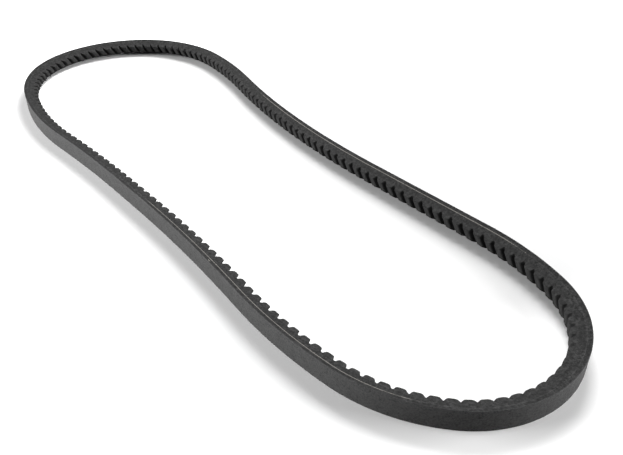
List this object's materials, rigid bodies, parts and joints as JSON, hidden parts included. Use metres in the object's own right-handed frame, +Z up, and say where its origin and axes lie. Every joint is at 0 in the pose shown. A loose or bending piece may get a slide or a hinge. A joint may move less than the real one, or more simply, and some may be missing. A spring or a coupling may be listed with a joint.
{
  "type": "v belt",
  "caption": "Endless raw-edge V-belt with slanted moulded cogs on the inside, relaxed and lying on one sidewall; wedges into pulley grooves to carry drive.",
  "frame": {"origin": "centre of the loop's bounding box, on the plane the belt lies on", "axes": "+X along the loop from the wide bend to the narrow bend, +Z up, across the belt's width"},
  "size_m": [0.4282, 0.1466, 0.01],
  "materials": {
    "back_fabric": "rubberised bias fabric, satin",
    "tension_rubber": "ground, matte",
    "adhesion_gum": "ground, matte",
    "tensile_cord": "twisted polyester cord, treated",
    "compression_rubber": "fibre-loaded, ground sidewalls, moulded notches"
  },
  "bodies": {
    "root": {"back_fabric_outer": "back_fabric", "back_fabric_inner": "back_fabric", "tension_rubber": "tension_rubber", "adhesion_gum_upper": "adhesion_gum", "adhesion_gum_lower": "adhesion_gum", "cord_turn_1": "tensile_cord", "cord_turn_2": "tensile_cord", "cord_turn_3": "tensile_cord", "cord_turn_4": "tensile_cord", "cord_turn_5": "tensile_cord", "cord_turn_6": "tensile_cord", "cord_turn_7": "tensile_cord", "cord_turn_8": "tensile_cord", "compression_ply": "compression_rubber", "cog_ply": "compression_rubber"}
  },
  "joints": []
}
